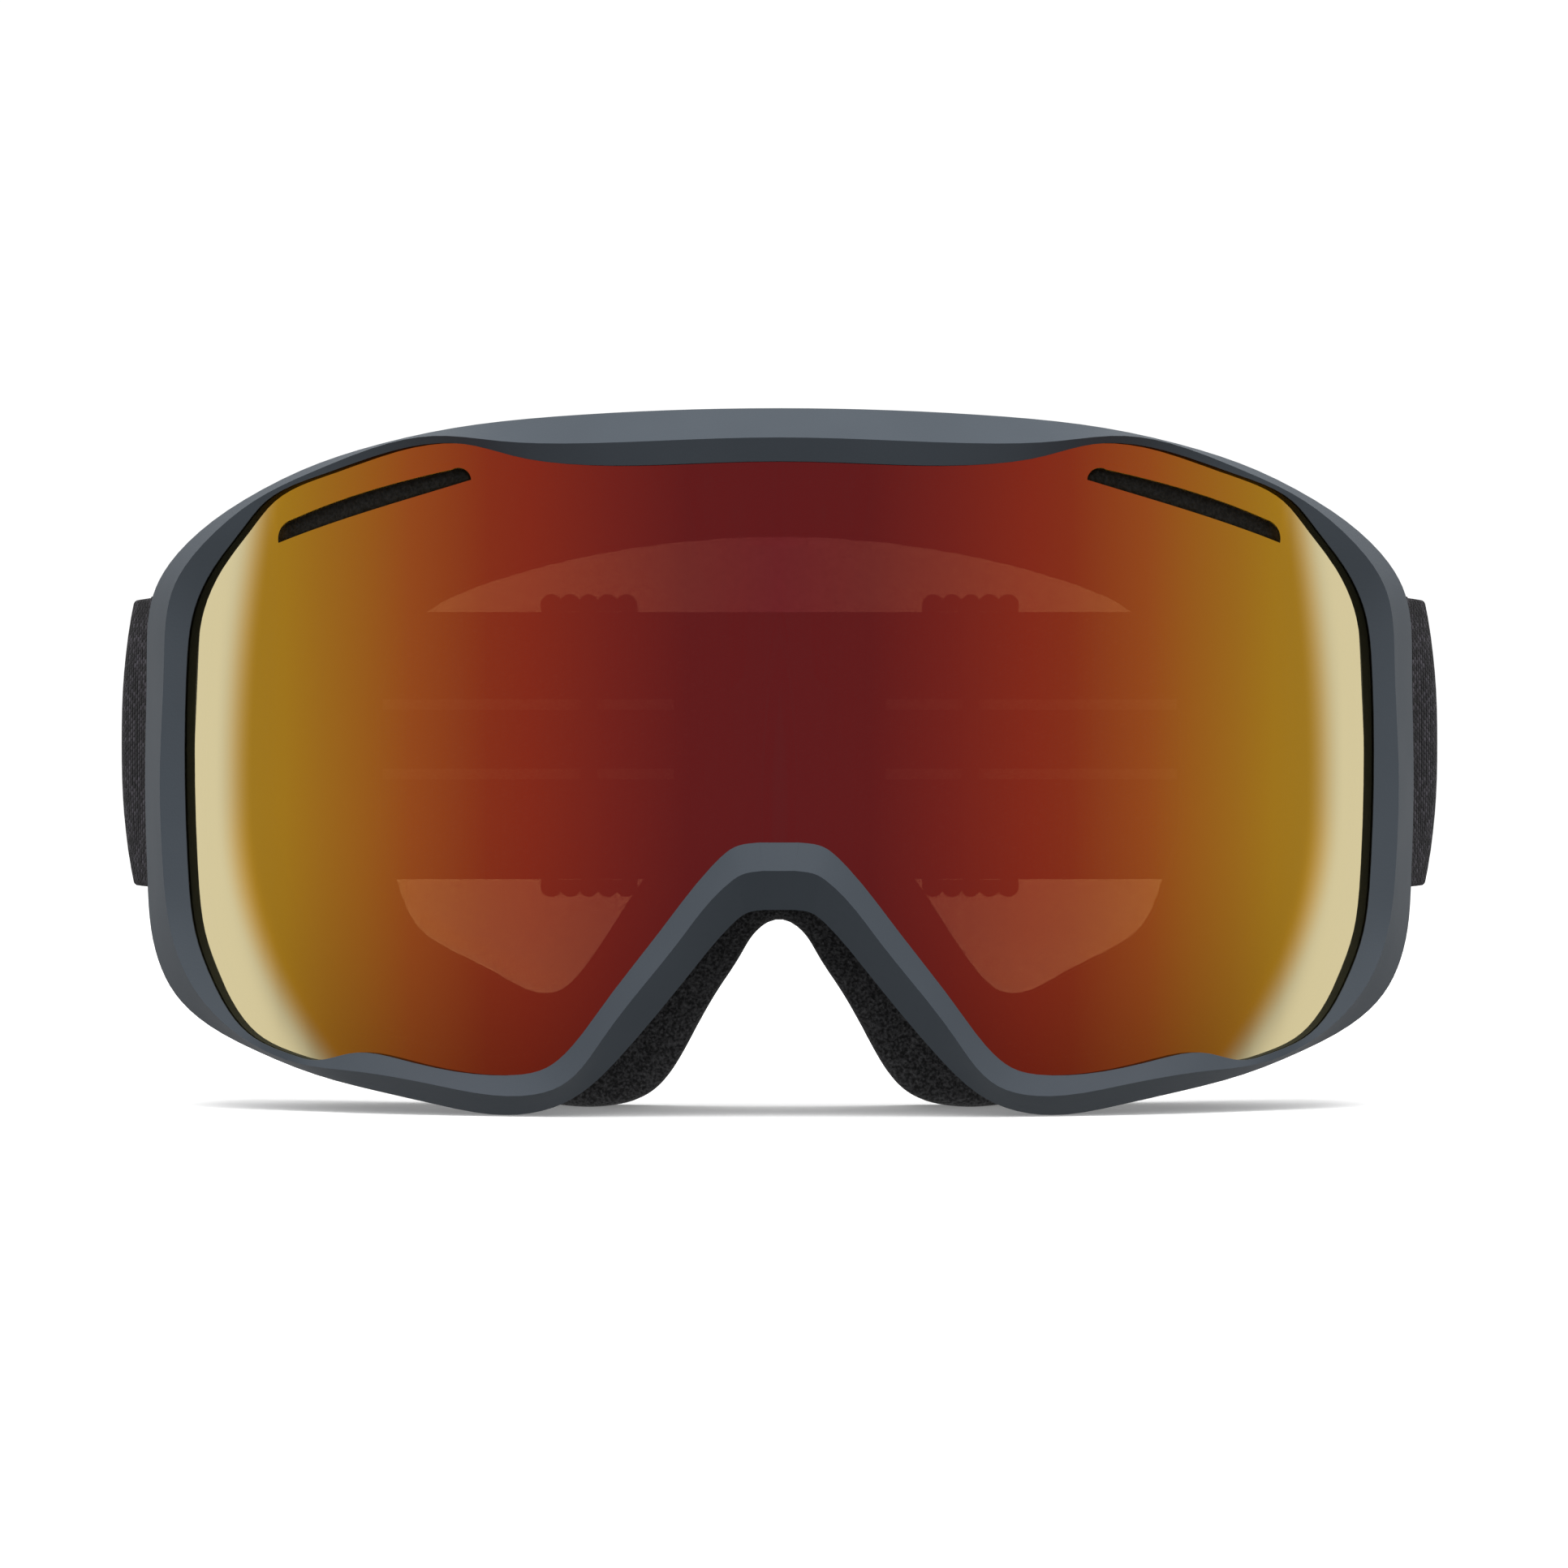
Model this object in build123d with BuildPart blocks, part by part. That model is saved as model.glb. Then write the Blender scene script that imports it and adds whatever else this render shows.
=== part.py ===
"""Snow goggles with a wide cylindrical mirror lens, foam face seat and a webbing strap.

Millimetres.  +Z is up, +X is to the wearer's left, and the lens looks along -Y.  The origin
is under the middle of the goggles, on the surface that they stand on.  All the curved
surfaces of the front are upright cylinders round one axis, which is at (0, WRAP_Y).
"""
from build123d import *
from math import cos, hypot, sin, sqrt
import os

os.makedirs("parts", exist_ok=True)

# ---- overall sizes -------------------------------------------------------------------------
DEPTH = 172.0            # front of the bezel to the back of the strap
FRONT_Y = -DEPTH / 2

# ---- wrap-round front ----------------------------------------------------------------------
CREST_R = 108.0          # the bezel's ridge, at its proudest
RIM_R = 106.2            # the ridge where the rim is thin
LIP_R = 105.9            # front edge of the lip that holds the lens
LENS_R = 105.0           # front face of the lens
EDGE_R = 102.0           # outermost edge of the bezel
WRAP_TURN = 1.2          # half angle of the cylinders that the lenses are cut from, radians
THIN_RIM = ((62.0, 85.0, 22.0), (67.0, 9.0, 14.0))   # x, z and reach of the thin corners
THIN_RIM_EASE = 1.6
WRAP_Y = FRONT_Y + CREST_R

LENS_THICK = 1.4
INNER_LENS_THICK = 1.0
LENS_AIR = 3.4           # air space between the two lenses
LENS_PLAY = 0.15
LENS_EDGE_PLAY = 0.4
LIP_COVER = 0.6          # how far the lip covers the edge of the lens
LEDGE_WIDTH = 3.0        # ledge behind the lenses

# ---- face side of the frame -----------------------------------------------------------------
FACE_R = 110.0           # curve of the wearer's face
FACE_DEPTH = 24.0        # back of the flange, behind the front, at the brow
FACE_LEAN = 0.10         # how much further back the cheeks sit, per mm of height
FLANGE_THICK = 2.2
WALL = 2.6

FOAM_BASE = 6.0
FOAM_MIDDLE = 6.0
FLEECE = 2.0

# ---- strap ----------------------------------------------------------------------------------
STRAP_WIDTH = 40.0
STRAP_Z = 49.7
WEBBING = 1.5
LAYER_GAP = 0.15
STRAP_SIDE = 87.25           # inner face of the inner webbing at the sides
STRAP_CORNER_R = 23.0
STRAP_EASE_R = 30.0          # bend behind the frame, where the two layers come together
INNER_EASE = 24.0            # how far behind the bar the inner layer reaches the side
OUTER_EASE = 18.0            # and the outer layer
BAR_EASE_R = 12.0
BAR_RUN = 3.0                # straight webbing next to the bar
BAR_X = 84.0
BAR_Y = FRONT_Y + 63.0
BAR_R = 1.5
BAR_PLAY = 0.1
LUG = 2.8
LUG_FRONT_Y = FRONT_Y + 49.0
LUG_TIP_X = BAR_X - 0.5      # outer side of the lug, where it leaves the frame
SLOT_PLAY = 0.5
GRIP_THICK = 0.25
GRIP_WIDTH = 1.6
GRIP_START = 16.0
GRIP_END = 60.0
GRIP_Z = (55.9, 45.4)

# ---- slider ---------------------------------------------------------------------------------
SLIDER_X = 28.8
SLIDER_WIDTH = 14.6
SLIDER_PLATE = 1.4
SLIDER_BAR = 2.5
SLIDER_CAP = 2.6
SLIDER_PLAY = 0.15
CAP_GAP = 0.25               # between the webbing's edge and the scalloped end
SCALLOP_R = 1.65
SCALLOP_MIDDLE_R = 1.45
TAIL_END = 46.0              # outer end of the sewn tail
TAIL_GAP = 0.1

# The straight run at the back, front to back: inner webbing, then the slider's plate beside the
# doubled layer, then the sewn tail, which lies on the thicker of the two.
TAIL_STEP = max(WEBBING + SLIDER_PLAY + SLIDER_PLATE + TAIL_GAP, 2 * WEBBING + LAYER_GAP)
BACK_Y = FRONT_Y + DEPTH - WEBBING - TAIL_STEP
STRAP_LOW = STRAP_Z - STRAP_WIDTH / 2

# ---- vents in the frame ---------------------------------------------------------------------
TOP_VENTS = (-44.0, -22.5, 0.0, 22.5, 44.0)
LOWER_VENTS = (-58.0, -42.0, 42.0, 58.0)
VENT_LONG = 14.0
VENT_DEEP = 6.5
VENT_RECESS = 1.2
VENT_CORNER_R = 1.5
VENT_FOAM_PLAY = 0.05
TOP_VENT_Z = 88.0
LOWER_VENT_Z = 8.0
VENT_CUT = 20.0              # height of the cut, from below the wall to above it
TOP_CUT_Z = 76.0
LOWER_CUT_Z = -2.0

# ---- outlines: right half, top middle round to the middle of the nose, as (x, z) --------------
# Each outline has the same six stretches: brow, temple, cheek, lower rim, side of the nose,
# bridge.  Its last point is the middle of the nose.
LENS_EDGE = [
    [(0, 86.3), (27.8, 86.1), (34.5, 87.1), (41.5, 88.9), (45.5, 89.1), (60.8, 85.4)],
    [(69.3, 81.7), (72.2, 78.5), (76.6, 73.1), (79.5, 67.2), (80.5, 60)],
    [(80.8, 46), (80.3, 32), (79.2, 23.6), (76.7, 17.2)],
    [(71.0, 9.9), (65.4, 7.6), (61.9, 6.95), (57.0, 8.0), (49.6, 7.1)],
    [(35.4, 5.4), (31.0, 6.3), (27.6, 9.0), (23.4, 14.5), (15.1, 25.3)],
    [(9.3, 32.6), (7.2, 34.7), (5.0, 35.9), (2.6, 36.2)],
    (0, 36.2)]
CREASE = [
    [(0, 89.35), (27.8, 88.7), (36.5, 89.1), (45.5, 90.0), (61.3, 86.1)],
    [(70.1, 82.3), (77.2, 77.0), (82.2, 70.5), (83.6, 60)],
    [(84.2, 46), (83.8, 33), (82.6, 24.0), (79.8, 17.2)],
    [(71.1, 9.0), (63.5, 6.3), (57, 5.7), (46, 4.15)],
    [(34.8, 2.75), (28.7, 4.2), (23.0, 10.7), (12.8, 23.7)],
    [(8.4, 29.2), (6.2, 31.2), (4.3, 32.2), (2.2, 32.5)],
    (0, 32.5)]
RIM_EDGE = [
    [(0, 93.45), (28, 92.65), (43, 91.3), (54, 89.2), (63, 86.6)],
    [(71.3, 83.0), (80.3, 77.3), (85.8, 70.6), (87.1, 60)],
    [(87.35, 46), (87.0, 31), (86.2, 22.8), (83.2, 15.8)],
    [(70.5, 7.7), (62, 4.75), (54, 2.9), (46, 1.3)],
    [(35.5, 0.0), (28, 1.9), (20.6, 8.3), (11.6, 19.1)],
    [(7.0, 24.6), (5.2, 26.3), (3.6, 27.1), (1.8, 27.3)],
    (0, 27.3)]
FLANGE_EDGE = [
    [(0, 92.3), (26, 91.3), (44, 88.4)],
    [(58, 83.0), (68.5, 73.5), (72, 60)],
    [(72.5, 46), (70.5, 32), (66, 22)],
    [(57, 12.0), (47, 5.9)],
    [(36, 1.0), (28.4, 2.9), (20.9, 9.4), (12.1, 20.0)],
    [(7.6, 25.4), (5.7, 27.1), (4.0, 28.0), (2.0, 28.3)],
    (0, 28.3)]
FOAM_EDGE = [
    [(0, 92.0), (26, 91.0), (44, 88.1)],
    [(57.8, 82.8), (68.2, 73.4), (71.7, 60)],
    [(72.2, 46), (70.2, 32), (65.7, 22)],
    [(56, 11.6), (44.5, 4.4)],
    [(31, 0.4), (22.5, 0.25), (17.2, 2.2), (13.1, 7.4), (8.4, 15.9)],
    [(4.9, 21.3), (2.9, 24.3), (1.4, 25.6)],
    (0, 25.9)]
FACE_OPENING = [
    [(0, 77.3), (26, 74.8), (40, 71.2)],
    [(48.1, 67.5), (53.5, 60.5), (55, 53)],
    [(55.2, 46), (54.6, 37), (52.6, 30.5)],
    [(49.8, 24.4), (43.8, 20.5), (38.0, 17.6)],
    [(30.5, 15.4), (26.6, 18.8), (18.2, 31.2)],
    [(10.2, 40.4), (7.0, 42.9), (3.6, 43.9)],
    (0, 44.0)]

# Vent slot through the top of the lens, as (x, z): its lower and upper edges, and the middle
# of each rounded end.
SLOT_LOW = [(67.3, 76.3), (56.1, 79.9), (48.3, 82.1), (40.8, 84.2)]
SLOT_HIGH = [(43.4, 85.6), (50.8, 84.0), (56.1, 82.6), (65.4, 79.4)]
SLOT_IN = (41.4, 85.4)
SLOT_OUT = (67.0, 78.2)


def points_of(outline):
    """All the points of an outline, in order."""
    return [p for stretch in outline[:-1] for p in stretch] + [outline[-1]]


def marks_of(outline):
    """Where each stretch starts in the list of points."""
    marks = [0]
    for stretch in outline[:-1]:
        marks.append(marks[-1] + len(stretch))
    return marks


def run_length(pts):
    """Length along a row of points, as a running sum."""
    total = [0.0]
    for a, b in zip(pts, pts[1:]):
        total.append(total[-1] + hypot(b[0] - a[0], b[1] - a[1]))
    return total


def smooth_rise(at, knots, values):
    """Height at one place on a smooth rising curve through the knots and their values."""
    slopes = [(v2 - v1) / (k2 - k1)
              for k1, k2, v1, v2 in zip(knots, knots[1:], values, values[1:])]
    leans = [2 * a * b / (a + b) for a, b in zip(slopes, slopes[1:])]
    leans = [slopes[0]] + leans + [slopes[-1]]
    k = max(i for i in range(len(slopes)) if knots[i] <= at)
    width = knots[k + 1] - knots[k]
    t = (at - knots[k]) / width
    rise = values[k + 1] - values[k]
    return (values[k] + rise * t * t * (3 - 2 * t)
            + width * leans[k] * t * (1 - t) ** 2 - width * leans[k + 1] * t * t * (1 - t))


def spacing(outline):
    """Spline parameters: each stretch takes the same share of 0..1 on every outline."""
    rim_length = run_length(points_of(RIM_EDGE))
    share = [rim_length[m] / rim_length[-1] for m in marks_of(RIM_EDGE)]
    length = run_length(points_of(outline))
    knots = [length[m] for m in marks_of(outline)]
    return [smooth_rise(at, knots, share) for at in length]


def shifted(outline, distance):
    """The outline moved out of the frame's opening by distance, point by point."""
    pts = points_of(outline)
    before = [(-pts[1][0], pts[1][1])] + pts[:-1]
    after = pts[1:] + [(-pts[-2][0], pts[-2][1])]
    moved = []
    for (x, z), a, b in zip(pts, before, after):
        length = hypot(b[0] - a[0], b[1] - a[1])
        moved.append((x - distance * (b[1] - a[1]) / length, z + distance * (b[0] - a[0]) / length))
    marks = marks_of(outline)
    return [moved[a:b] for a, b in zip(marks, marks[1:])] + [(0, moved[-1][1])]


def on_cylinder(radius):
    """Y of a point on the front cylinder of this radius."""
    return lambda x, z: WRAP_Y - sqrt(radius * radius - x * x)


def on_face(forward):
    """Y of a point this far in front of the back of the flange."""
    def place(x, z):
        wrap = FACE_R - sqrt(FACE_R * FACE_R - x * x)
        return FRONT_Y + FACE_DEPTH + wrap + FACE_LEAN * (RIM_EDGE[0][0][1] - z) - forward
    return place


def ring(outline, place):
    """Right half of a ring through the outline, lifted into space by place(x, z)."""
    pts = [Vector(x, place(x, z), z) for x, z in points_of(outline)]
    return Edge.make_spline(pts, tangents=[Vector(1, 0, 0), Vector(-1, 0, 0)],
                            parameters=spacing(outline))


def skin(rings):
    """Closed solid whose faces run straight from each ring to the next, and back to the first."""
    faces = []
    for a, b in zip(rings, rings[1:] + rings[:1]):
        half = Face.make_surface_from_curves(a, b)
        faces += [half, half.mirror(Plane.YZ)]
    return Solid(Shell(faces))


# ---- frame -----------------------------------------------------------------------------------
LEDGE_R = LENS_R - LENS_THICK - LENS_AIR - INNER_LENS_THICK - LENS_PLAY


def ridge_place(x, z):
    """Y of the ridge: proud where the bezel is wide, low at the upper and lower corners."""
    near = [1 - hypot(x - spot_x, z - spot_z) / reach for spot_x, spot_z, reach in THIN_RIM]
    thin = min(1.0, THIN_RIM_EASE * max(0.0, *near))
    radius = CREST_R - (CREST_R - RIM_R) * thin
    return WRAP_Y - sqrt(radius * radius - x * x)


frame_shell = skin([
    ring(LENS_EDGE, on_cylinder(LIP_R)),
    ring(CREASE, ridge_place),
    ring(RIM_EDGE, on_cylinder(EDGE_R)),
    ring(FLANGE_EDGE, on_face(0)),
    ring(FACE_OPENING, on_face(0)),
    ring(FACE_OPENING, on_face(FLANGE_THICK)),
    ring(shifted(FLANGE_EDGE, -WALL), on_face(FLANGE_THICK)),
    ring(shifted(LENS_EDGE, LIP_COVER - LEDGE_WIDTH), on_cylinder(LEDGE_R)),
    ring(shifted(LENS_EDGE, LIP_COVER), on_cylinder(LEDGE_R)),
    ring(shifted(LENS_EDGE, LIP_COVER), on_cylinder(LENS_R + LENS_PLAY)),
    ring(LENS_EDGE, on_cylinder(LENS_R + LENS_PLAY))])


def vent_place(x, low):
    """Plane of a vent at x: halfway between the bezel's edge and the flange, above or below."""
    z = LOWER_VENT_Z if low else TOP_VENT_Z
    y = (on_cylinder(EDGE_R)(x, z) + on_face(FLANGE_THICK)(x, z)) / 2 + 1.0
    return Plane.XY.offset(LOWER_CUT_Z if low else TOP_CUT_Z), (x, y)


vents = [("top_%d" % (i + 1), vent_place(x, False)) for i, x in enumerate(TOP_VENTS)]
vents += [("lower_%d" % (i + 1), vent_place(x, True)) for i, x in enumerate(LOWER_VENTS)]

with BuildPart() as frame:
    add(frame_shell)
    for plane, spot in [vent[1] for vent in vents]:
        with BuildSketch(plane):
            with Locations(spot):
                RectangleRounded(VENT_LONG, VENT_DEEP, VENT_CORNER_R)
        extrude(amount=VENT_CUT, mode=Mode.SUBTRACT)
    for side in (1, -1):
        lug_low = STRAP_LOW - SLOT_PLAY - LUG
        lug_high = STRAP_LOW + STRAP_WIDTH + SLOT_PLAY
        for z in (lug_low, lug_high):
            with BuildSketch(Plane.XY.offset(z)):
                with BuildLine():
                    Polyline((side * (BAR_X - BAR_R), LUG_FRONT_Y), (side * LUG_TIP_X, LUG_FRONT_Y),
                             (side * (BAR_X + BAR_R), BAR_Y), (side * (BAR_X - BAR_R), BAR_Y),
                             close=True)
                make_face()
                with Locations((side * BAR_X, BAR_Y)):
                    Circle(BAR_R)
            extrude(amount=LUG)
        with BuildSketch(Plane.XY.offset(lug_low)):
            with Locations((side * BAR_X, BAR_Y)):
                Circle(BAR_R)
        extrude(amount=lug_high + LUG - lug_low)
frame.part.label = "frame"
export_step(frame.part, "parts/frame.step")

# Foam set into each vent, a little below the outside of the frame and flush inside.
for name, (plane, spot) in vents:
    sink = -VENT_RECESS if name.startswith("top") else VENT_RECESS
    with BuildPart() as vent_foam:
        with BuildSketch(plane):
            with Locations(spot):
                RectangleRounded(VENT_LONG - 2 * VENT_FOAM_PLAY, VENT_DEEP - 2 * VENT_FOAM_PLAY,
                                 VENT_CORNER_R - VENT_FOAM_PLAY)
        extrude(amount=VENT_CUT)
        add(frame_shell, mode=Mode.INTERSECT)
        add(frame_shell.moved(Location((0, 0, sink))), mode=Mode.INTERSECT)
    vent_foam.part.label = "vent_foam_" + name
    export_step(vent_foam.part, "parts/vent_foam_" + name + ".step")


# ---- lenses ----------------------------------------------------------------------------------
def lens_blank(shift):
    """Flat face of the right half of the lens outline, moved outwards by shift."""
    moved = shifted(LENS_EDGE, shift)
    pts = points_of(moved)
    with BuildSketch(Plane.XZ, mode=Mode.PRIVATE) as blank:
        with BuildLine():
            add(Edge.make_spline([Vector(x, z) for x, z in pts],
                                 tangents=[Vector(1, 0), Vector(-1, 0)],
                                 parameters=spacing(moved)))
            Line(pts[-1], pts[0])
        make_face()
    return blank.sketch


def slot_face():
    """Flat face of the right half's vent slot."""
    with BuildSketch(Plane.XZ, mode=Mode.PRIVATE) as slot:
        with BuildLine():
            Spline(*SLOT_LOW)
            ThreePointArc(SLOT_LOW[-1], SLOT_IN, SLOT_HIGH[0])
            Spline(*SLOT_HIGH)
            ThreePointArc(SLOT_HIGH[-1], SLOT_OUT, SLOT_LOW[0])
        make_face()
    return slot.sketch


def between_cylinders(outer, inner):
    """Upright wall round the wrap axis, across the front of the goggles."""
    def ends(radius):
        return [(radius * sin(a), WRAP_Y - radius * cos(a)) for a in (-WRAP_TURN, WRAP_TURN)]
    with BuildPart(mode=Mode.PRIVATE) as wall:
        with BuildSketch(Plane.XY.offset(LOWER_CUT_Z)):
            with BuildLine():
                for radius in (outer, inner):
                    first, last = ends(radius)
                    ThreePointArc(first, (0, WRAP_Y - radius), last)
                for a, b in zip(ends(outer), ends(inner)):
                    Line(a, b)
            make_face()
        extrude(amount=100)
    return wall.part


def mirrored(part):
    """The part and its mirror image, joined in the middle."""
    with BuildPart(mode=Mode.PRIVATE) as whole:
        add(part)
        add(part.mirror(Plane.YZ), clean=False)
    return whole.part


FORWARD = (0, -1, 0)
LENS_COVER = LIP_COVER - LENS_EDGE_PLAY
outer_lens_back = LENS_R - LENS_THICK
inner_lens_front = outer_lens_back - LENS_AIR
air_wall = between_cylinders(outer_lens_back, inner_lens_front)
gasket_inside = lens_blank(LIP_COVER - LEDGE_WIDTH)

with BuildPart() as half_outer_lens:
    extrude(lens_blank(LENS_COVER), amount=-FRONT_Y, dir=FORWARD)
    add(between_cylinders(LENS_R, outer_lens_back), mode=Mode.INTERSECT)
    extrude(slot_face(), amount=-FRONT_Y, dir=FORWARD, mode=Mode.SUBTRACT)
outer_lens = mirrored(half_outer_lens.part)
outer_lens.label = "outer_lens"
export_step(outer_lens, "parts/outer_lens.step")

with BuildPart() as half_inner_lens:
    extrude(lens_blank(LENS_COVER), amount=-FRONT_Y, dir=FORWARD)
    add(between_cylinders(inner_lens_front, inner_lens_front - INNER_LENS_THICK),
        mode=Mode.INTERSECT)
inner_lens = mirrored(half_inner_lens.part)
inner_lens.label = "inner_lens"
export_step(inner_lens, "parts/inner_lens.step")

with BuildPart() as half_gasket:
    extrude(lens_blank(LENS_COVER), amount=-FRONT_Y, dir=FORWARD)
    extrude(gasket_inside, amount=-FRONT_Y, dir=FORWARD, mode=Mode.SUBTRACT)
    add(air_wall, mode=Mode.INTERSECT)
lens_gasket = mirrored(half_gasket.part)
lens_gasket.label = "lens_gasket"
export_step(lens_gasket, "parts/lens_gasket.step")



# Each side's parts are drawn for the left, and mirrored for the right.
def write_pair(part, name):
    """Write the part as drawn for the left side, and its mirror image for the right."""
    for piece, hand in ((part, "left"), (part.mirror(Plane.YZ), "right")):
        piece.label = name + "_" + hand
        export_step(piece, "parts/" + name + "_" + hand + ".step")


# Dark foam mesh in the air space behind each slot of the outer lens.
with BuildPart() as lens_vent_foam:
    extrude(slot_face(), amount=-FRONT_Y, dir=FORWARD)
    extrude(gasket_inside, amount=-FRONT_Y, dir=FORWARD, mode=Mode.INTERSECT)
    add(air_wall, mode=Mode.INTERSECT)
write_pair(lens_vent_foam.part, "lens_vent_foam")


# ---- face foam -------------------------------------------------------------------------------
def foam_layer(back, thick):
    """One layer of the foam seat, from back millimetres behind the flange."""
    return skin([ring(FOAM_EDGE, on_face(-back)), ring(FOAM_EDGE, on_face(-back - thick)),
                 ring(FACE_OPENING, on_face(-back - thick)), ring(FACE_OPENING, on_face(-back))])


foam_back = LAYER_GAP
for name, thick in (("face_foam_base", FOAM_BASE), ("face_foam_middle", FOAM_MIDDLE),
                    ("face_fleece", FLEECE)):
    with BuildPart() as layer:
        add(foam_layer(foam_back, thick))
    layer.part.label = name
    export_step(layer.part, "parts/" + name + ".step")
    foam_back += thick


# ---- strap -----------------------------------------------------------------------------------
def strip(route, radii, side):
    """Upright webbing whose inner face follows route, a row of (x, y) points."""
    with BuildPart(mode=Mode.PRIVATE) as webbing:
        with BuildSketch(Plane.XY.offset(STRAP_LOW)):
            with BuildLine():
                line = FilletPolyline(*route, radius=radii)
                offset(line, amount=WEBBING, side=side)
            make_face()
        extrude(amount=STRAP_WIDTH)
    return webbing.part


bar_gap = BAR_R + BAR_PLAY
inner_x = BAR_X - bar_gap - WEBBING
half_route = [(inner_x, BAR_Y), (inner_x, BAR_Y + BAR_RUN), (STRAP_SIDE, BAR_Y + INNER_EASE),
              (STRAP_SIDE, BACK_Y)]
band_route = half_route + [(-x, y) for x, y in reversed(half_route)]
half_radii = [BAR_EASE_R, STRAP_EASE_R, STRAP_CORNER_R]
band_radii = half_radii + half_radii[::-1]

with BuildPart() as strap_band:
    add(strip(band_route, band_radii, Side.RIGHT))
strap_band.part.label = "strap_band"
export_step(strap_band.part, "parts/strap_band.step")


# The webbing's turn round the frame's bar.
with BuildPart() as strap_loop:
    with BuildSketch(Plane.XY.offset(STRAP_LOW)):
        with Locations((BAR_X, BAR_Y)):
            Circle(bar_gap + WEBBING)
            Circle(bar_gap, mode=Mode.SUBTRACT)
        with Locations((BAR_X, BAR_Y + bar_gap + WEBBING)):
            Rectangle(2 * (bar_gap + WEBBING) + 1, 2 * (bar_gap + WEBBING), mode=Mode.SUBTRACT)
    extrude(amount=STRAP_WIDTH)
write_pair(strap_loop.part, "strap_loop")

# The doubled layer, from the bar round the side to the slider.
outer_face = STRAP_SIDE + WEBBING + LAYER_GAP
slider_out = SLIDER_X + SLIDER_WIDTH / 2
outer_x = BAR_X + bar_gap
outer_route = [(outer_x, BAR_Y), (outer_x, BAR_Y + BAR_RUN), (outer_face, BAR_Y + OUTER_EASE),
               (outer_face, BACK_Y + WEBBING + LAYER_GAP),
               (slider_out + 2 * SLIDER_PLAY, BACK_Y + WEBBING + LAYER_GAP)]
outer_radii = [BAR_EASE_R, STRAP_EASE_R, STRAP_CORNER_R + WEBBING + LAYER_GAP]
write_pair(strip(outer_route, outer_radii, Side.RIGHT), "strap_outer")

# Rubber grip lines on the side that faces the helmet.
for place, z in (("upper", GRIP_Z[0]), ("lower", GRIP_Z[1])):
    with BuildPart() as grip:
        with BuildSketch(Plane.XY.offset(z - GRIP_WIDTH / 2)):
            with Locations(((GRIP_START + GRIP_END) / 2, BACK_Y - GRIP_THICK / 2)):
                Rectangle(GRIP_END - GRIP_START, GRIP_THICK)
        extrude(amount=GRIP_WIDTH)
    write_pair(grip.part, "grip_line_" + place)

# ---- slider ----------------------------------------------------------------------------------
plate_y = BACK_Y + WEBBING + SLIDER_PLAY          # front of the outer bars
bridge_y = BACK_Y - GRIP_THICK - SLIDER_PLAY      # back of the middle bar
cap_low = STRAP_LOW + STRAP_WIDTH + CAP_GAP
bar_x = SLIDER_WIDTH / 2 - SLIDER_BAR / 2


def slider_caps():
    """Both scalloped ends, drawn in the current XZ sketch."""
    for end in (1, -1):
        middle = end * (cap_low + SLIDER_CAP / 4 - STRAP_Z)
        with Locations((SLIDER_X, STRAP_Z + middle)):
            Rectangle(SLIDER_WIDTH - 1.0, SLIDER_CAP / 2)
        for step in range(-2, 3):
            bump = SCALLOP_R if step else SCALLOP_MIDDLE_R
            top = STRAP_Z + end * (cap_low + SLIDER_CAP - bump - STRAP_Z)
            with Locations((SLIDER_X + step * (SLIDER_WIDTH / 2 - SCALLOP_R) / 2, top)):
                Circle(bump)


with BuildPart() as slider:
    for y, thick, bars in ((bridge_y, SLIDER_PLATE, (0.0,)),
                           (plate_y + SLIDER_PLATE, SLIDER_PLATE, (-bar_x, bar_x)),
                           (plate_y, plate_y - bridge_y, ())):
        with BuildSketch(Plane.XZ.offset(-y)):
            slider_caps()
            with Locations((SLIDER_X, STRAP_Z)):
                Rectangle(SLIDER_WIDTH + 1, 2 * (cap_low - STRAP_Z), mode=Mode.SUBTRACT)
            for x in bars:
                with Locations((SLIDER_X + x, STRAP_Z)):
                    Rectangle(SLIDER_BAR, 2 * (cap_low - STRAP_Z) + 1)
        extrude(amount=thick)
write_pair(slider.part, "slider")

# The sewn end of the doubled layer, folded round the slider's outer bar.
tail_y = BACK_Y + TAIL_STEP
fold_x = SLIDER_X + SLIDER_WIDTH / 2 - SLIDER_BAR - TAIL_GAP
with BuildPart() as strap_tail:
    with BuildSketch(Plane.XY.offset(STRAP_LOW)):
        with BuildLine():
            Polyline((TAIL_END, tail_y), (TAIL_END, tail_y + WEBBING),
                     (fold_x - WEBBING, tail_y + WEBBING), (fold_x - WEBBING, plate_y),
                     (fold_x, plate_y), (fold_x, tail_y), close=True)
        make_face()
    extrude(amount=STRAP_WIDTH)
write_pair(strap_tail.part, "strap_tail")
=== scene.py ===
import math

import bmesh
import bpy
from mathutils import Matrix, Vector


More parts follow.
